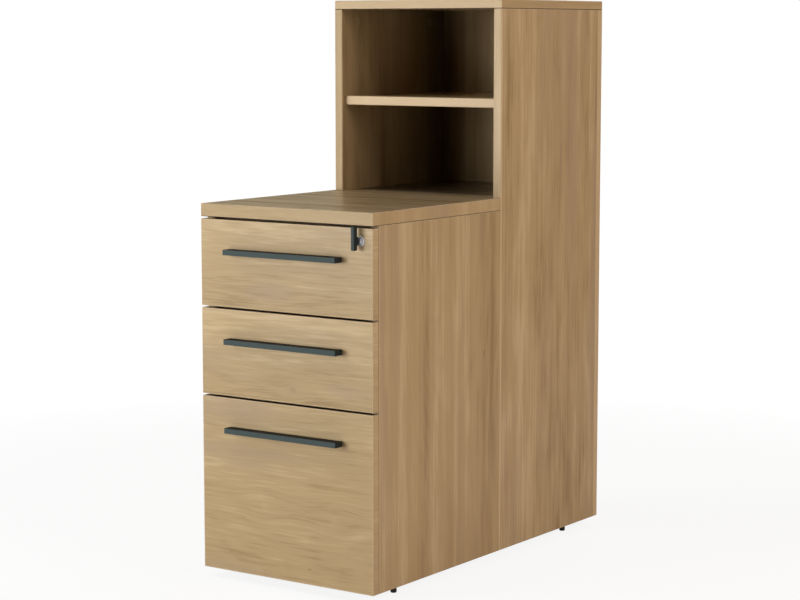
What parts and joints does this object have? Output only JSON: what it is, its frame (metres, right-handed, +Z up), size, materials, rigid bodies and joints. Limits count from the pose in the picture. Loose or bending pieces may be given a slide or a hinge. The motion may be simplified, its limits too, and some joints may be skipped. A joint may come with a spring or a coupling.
{
  "type": "drawer pedestal with bookcase tower",
  "caption": "Desk-high drawer pedestal with ledge handles and a keyed lock, topped at its rear half by an open bookcase tower.",
  "frame": {"origin": "on the floor under the middle of the whole object, pull handles and key included", "axes": "+Z is up, the drawers open towards -Y, and +X is the right side seen from the drawers"},
  "size_m": [0.404, 0.851, 1.115],
  "materials": {
    "light_oak": "satin oak laminate, grain across",
    "side_oak": "satin oak laminate, grain upright",
    "slate_metal": "satin slate",
    "tray_steel": "fine powder coat",
    "slide_steel": "zinc plated",
    "ball_steel": "polished",
    "cage_steel": "passivated",
    "lock_metal": "satin nickel",
    "screw_steel": "zinc plated",
    "black_plastic": "moulded",
    "grey_rubber": "soft pad"
  },
  "bodies": {
    "root": {"pedestal_top": "light_oak", "pedestal_side_left": "side_oak", "pedestal_side_right": "side_oak", "tower_side_left": "side_oak", "tower_side_right": "side_oak", "tower_top": "light_oak", "back_panel": "side_oak", "base_panel": "light_oak", "front_rail": "light_oak", "bookshelf": "light_oak", "panel_fittings": "screw_steel", "glide_sockets": "black_plastic", "lock_bar_guides": "black_plastic", "front_bumpers": "grey_rubber", "slide_screws": "screw_steel", "cabinet_rails_1": "slide_steel", "cabinet_rails_2": "slide_steel", "cabinet_rails_3": "slide_steel"},
    "drawer_1": {"drawer_front_1": "light_oak", "drawer_tray_1": "tray_steel", "handle_1": "slate_metal", "handle_screws_1": "screw_steel", "drawer_rails_1": "slide_steel", "lock_housing": "lock_metal"},
    "middle_1": {"middle_rails_1": "slide_steel"},
    "outer_cage_1": {"outer_cages_1": "cage_steel", "outer_balls_1": "ball_steel"},
    "inner_cage_1": {"inner_cages_1": "cage_steel", "inner_balls_1": "ball_steel"},
    "drawer_2": {"drawer_front_2": "light_oak", "drawer_tray_2": "tray_steel", "handle_2": "slate_metal", "handle_screws_2": "screw_steel", "drawer_rails_2": "slide_steel"},
    "middle_2": {"middle_rails_2": "slide_steel"},
    "outer_cage_2": {"outer_cages_2": "cage_steel", "outer_balls_2": "ball_steel"},
    "inner_cage_2": {"inner_cages_2": "cage_steel", "inner_balls_2": "ball_steel"},
    "drawer_3": {"drawer_front_3": "light_oak", "drawer_tray_3": "tray_steel", "handle_3": "slate_metal", "handle_screws_3": "screw_steel", "drawer_rails_3": "slide_steel", "hanging_file_rails": "slide_steel"},
    "middle_3": {"middle_rails_3": "slide_steel"},
    "outer_cage_3": {"outer_cages_3": "cage_steel", "outer_balls_3": "ball_steel"},
    "inner_cage_3": {"inner_cages_3": "cage_steel", "inner_balls_3": "ball_steel"},
    "key": {"lock_plug": "lock_metal", "lock_cam": "screw_steel", "key_shank": "lock_metal", "key_bow": "slate_metal"},
    "bar": {"lock_bar": "slide_steel"},
    "foot_front_left": {"glide_front_left": "black_plastic"},
    "foot_front_right": {"glide_front_right": "black_plastic"},
    "foot_rear_left": {"glide_rear_left": "black_plastic"},
    "foot_rear_right": {"glide_rear_right": "black_plastic"}
  },
  "joints": [
    {"name": "drawer_1_slide", "type": "slide", "parent": "root", "child": "drawer_1", "axis": [0, -1, 0], "range_m": [0, 0.45]},
    {"name": "middle_1_slide", "type": "slide", "parent": "root", "child": "middle_1", "axis": [0, -1, 0], "range_m": [0, 0.225]},
    {"name": "outer_cage_1_slide", "type": "slide", "parent": "root", "child": "outer_cage_1", "axis": [0, -1, 0], "range_m": [0, 0.1125]},
    {"name": "inner_cage_1_slide", "type": "slide", "parent": "root", "child": "inner_cage_1", "axis": [0, -1, 0], "range_m": [0, 0.3375]},
    {"name": "drawer_2_slide", "type": "slide", "parent": "root", "child": "drawer_2", "axis": [0, -1, 0], "range_m": [0, 0.45]},
    {"name": "middle_2_slide", "type": "slide", "parent": "root", "child": "middle_2", "axis": [0, -1, 0], "range_m": [0, 0.225]},
    {"name": "outer_cage_2_slide", "type": "slide", "parent": "root", "child": "outer_cage_2", "axis": [0, -1, 0], "range_m": [0, 0.1125]},
    {"name": "inner_cage_2_slide", "type": "slide", "parent": "root", "child": "inner_cage_2", "axis": [0, -1, 0], "range_m": [0, 0.3375]},
    {"name": "drawer_3_slide", "type": "slide", "parent": "root", "child": "drawer_3", "axis": [0, -1, 0], "range_m": [0, 0.45]},
    {"name": "middle_3_slide", "type": "slide", "parent": "root", "child": "middle_3", "axis": [0, -1, 0], "range_m": [0, 0.225]},
    {"name": "outer_cage_3_slide", "type": "slide", "parent": "root", "child": "outer_cage_3", "axis": [0, -1, 0], "range_m": [0, 0.1125]},
    {"name": "inner_cage_3_slide", "type": "slide", "parent": "root", "child": "inner_cage_3", "axis": [0, -1, 0], "range_m": [0, 0.3375]},
    {"name": "key_turn", "type": "hinge", "parent": "drawer_1", "child": "key", "pos_m": [0.175, -0.4035, 0.6745], "axis": [0, 1, 0], "range_deg": [0, 90]},
    {"name": "lock_bar_slide", "type": "slide", "parent": "root", "child": "bar", "axis": [0, 0, 1], "range_m": [0, 0.0099]},
    {"name": "foot_front_left_turn", "type": "hinge", "parent": "root", "child": "foot_front_left", "pos_m": [-0.176, -0.3015, 0], "axis": [0, 0, 1], "continuous": true},
    {"name": "foot_front_right_turn", "type": "hinge", "parent": "root", "child": "foot_front_right", "pos_m": [0.176, -0.3015, 0], "axis": [0, 0, 1], "continuous": true},
    {"name": "foot_rear_left_turn", "type": "hinge", "parent": "root", "child": "foot_rear_left", "pos_m": [-0.176, 0.3235, 0], "axis": [0, 0, 1], "continuous": true},
    {"name": "foot_rear_right_turn", "type": "hinge", "parent": "root", "child": "foot_rear_right", "pos_m": [0.176, 0.3235, 0], "axis": [0, 0, 1], "continuous": true}
  ],
  "couplings": [
    {"joint": "middle_1_slide", "follows": "drawer_1_slide", "ratio": 0.5},
    {"joint": "outer_cage_1_slide", "follows": "drawer_1_slide", "ratio": 0.25},
    {"joint": "inner_cage_1_slide", "follows": "drawer_1_slide", "ratio": 0.75},
    {"joint": "middle_2_slide", "follows": "drawer_2_slide", "ratio": 0.5},
    {"joint": "outer_cage_2_slide", "follows": "drawer_2_slide", "ratio": 0.25},
    {"joint": "inner_cage_2_slide", "follows": "drawer_2_slide", "ratio": 0.75},
    {"joint": "middle_3_slide", "follows": "drawer_3_slide", "ratio": 0.5},
    {"joint": "outer_cage_3_slide", "follows": "drawer_3_slide", "ratio": 0.25},
    {"joint": "inner_cage_3_slide", "follows": "drawer_3_slide", "ratio": 0.75},
    {"joint": "key_turn", "follows": "lock_bar_slide", "rad_per_m": 158.66}
  ]
}
